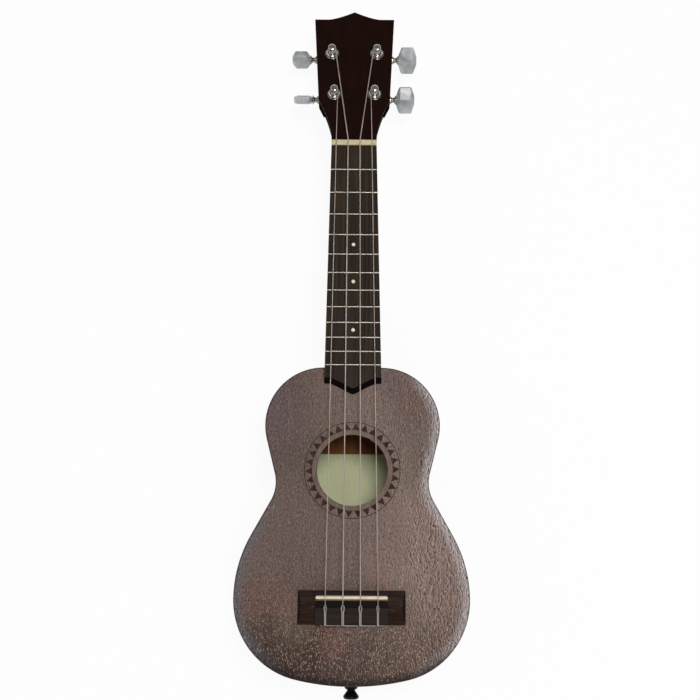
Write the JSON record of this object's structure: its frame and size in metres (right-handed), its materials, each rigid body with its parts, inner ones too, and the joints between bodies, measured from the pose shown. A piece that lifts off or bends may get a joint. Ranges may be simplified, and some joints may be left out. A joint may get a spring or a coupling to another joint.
{
  "type": "ukulele",
  "caption": "Figure-eight wooden ukulele with soundhole, fretted neck, tied bridge, nylon strings and geared tuners whose buttons turn the string posts.",
  "frame": {"origin": "on the back's outer face, on the centreline, straight under the saddle", "axes": "+X to the right looking at the soundboard with the headstock up, +Y from the tail to the headstock, +Z from the back to the strings"},
  "size_m": [0.178, 0.5484, 0.0712],
  "materials": {
    "body_wood": "satin",
    "inner_wood": "matte",
    "neck_wood": "satin",
    "veneer": "gloss",
    "dark_wood": "satin",
    "fret_metal": "polished",
    "pearl": "gloss",
    "cream": "satin",
    "paper": "matte",
    "black": "gloss",
    "screw_steel": "polished",
    "tuner_metal": "polished",
    "worm_steel": "satin",
    "gear_brass": "satin",
    "button": "gloss",
    "string": "satin"
  },
  "bodies": {
    "instrument": {"soundboard": "body_wood", "back": "body_wood", "side_left": "body_wood", "side_right": "body_wood", "top_linings": "inner_wood", "back_linings": "inner_wood", "neck_block": "inner_wood", "tail_block": "inner_wood", "top_braces": "inner_wood", "back_braces": "inner_wood", "bridge_plate": "inner_wood", "label": "paper", "neck": "neck_wood", "neck_dowels": "inner_wood", "headstock": "neck_wood", "headstock_veneer": "veneer", "fretboard": "dark_wood", "frets": "fret_metal", "position_dots": "pearl", "nut": "cream", "bridge": "dark_wood", "saddle": "cream", "strap_button": "black", "strap_screw": "screw_steel", "tuner_housing_g": "tuner_metal", "tuner_housing_c": "tuner_metal", "tuner_housing_e": "tuner_metal", "tuner_housing_a": "tuner_metal", "tuner_covers": "tuner_metal", "tuner_bushings": "tuner_metal", "tuner_washers": "tuner_metal", "tuner_screws": "screw_steel", "string_g": "string", "string_c": "string", "string_e": "string", "string_a": "string"},
    "button_body_g": {"worm_g": "worm_steel", "button_g": "button"},
    "post_body_g": {"post_g": "tuner_metal", "gear_g": "gear_brass", "gear_screw_g": "screw_steel", "winding_g": "string"},
    "button_body_c": {"worm_c": "worm_steel", "button_c": "button"},
    "post_body_c": {"post_c": "tuner_metal", "gear_c": "gear_brass", "gear_screw_c": "screw_steel", "winding_c": "string"},
    "button_body_e": {"worm_e": "worm_steel", "button_e": "button"},
    "post_body_e": {"post_e": "tuner_metal", "gear_e": "gear_brass", "gear_screw_e": "screw_steel", "winding_e": "string"},
    "button_body_a": {"worm_a": "worm_steel", "button_a": "button"},
    "post_body_a": {"post_a": "tuner_metal", "gear_a": "gear_brass", "gear_screw_a": "screw_steel", "winding_a": "string"}
  },
  "joints": [
    {"name": "button_turn_g", "type": "hinge", "parent": "instrument", "child": "button_body_g", "pos_m": [-0.016, 0.39557, 0.03283], "axis": [-1, 0, 0], "continuous": true},
    {"name": "post_turn_g", "type": "hinge", "parent": "instrument", "child": "post_body_g", "pos_m": [-0.016, 0.3938, 0.05037], "axis": [0, 0.225, 0.9744], "continuous": true, "deforming": ["string_g"]},
    {"name": "button_turn_c", "type": "hinge", "parent": "instrument", "child": "button_body_c", "pos_m": [-0.0181, 0.4324, 0.02432], "axis": [-1, 0, 0], "continuous": true},
    {"name": "post_turn_c", "type": "hinge", "parent": "instrument", "child": "post_body_c", "pos_m": [-0.0181, 0.43063, 0.04187], "axis": [0, 0.225, 0.9744], "continuous": true, "deforming": ["string_c"]},
    {"name": "button_turn_e", "type": "hinge", "parent": "instrument", "child": "button_body_e", "pos_m": [0.0181, 0.4324, 0.02432], "axis": [1, 0, 0], "continuous": true},
    {"name": "post_turn_e", "type": "hinge", "parent": "instrument", "child": "post_body_e", "pos_m": [0.0181, 0.43063, 0.04187], "axis": [0, 0.225, 0.9744], "continuous": true, "deforming": ["string_e"]},
    {"name": "button_turn_a", "type": "hinge", "parent": "instrument", "child": "button_body_a", "pos_m": [0.016, 0.39557, 0.03283], "axis": [1, 0, 0], "continuous": true},
    {"name": "post_turn_a", "type": "hinge", "parent": "instrument", "child": "post_body_a", "pos_m": [0.016, 0.3938, 0.05037], "axis": [0, 0.225, 0.9744], "continuous": true, "deforming": ["string_a"]}
  ],
  "couplings": [
    {"joint": "post_turn_g", "follows": "button_turn_g", "ratio": -0.071429},
    {"joint": "post_turn_c", "follows": "button_turn_c", "ratio": -0.071429},
    {"joint": "post_turn_e", "follows": "button_turn_e", "ratio": -0.071429},
    {"joint": "post_turn_a", "follows": "button_turn_a", "ratio": -0.071429}
  ]
}
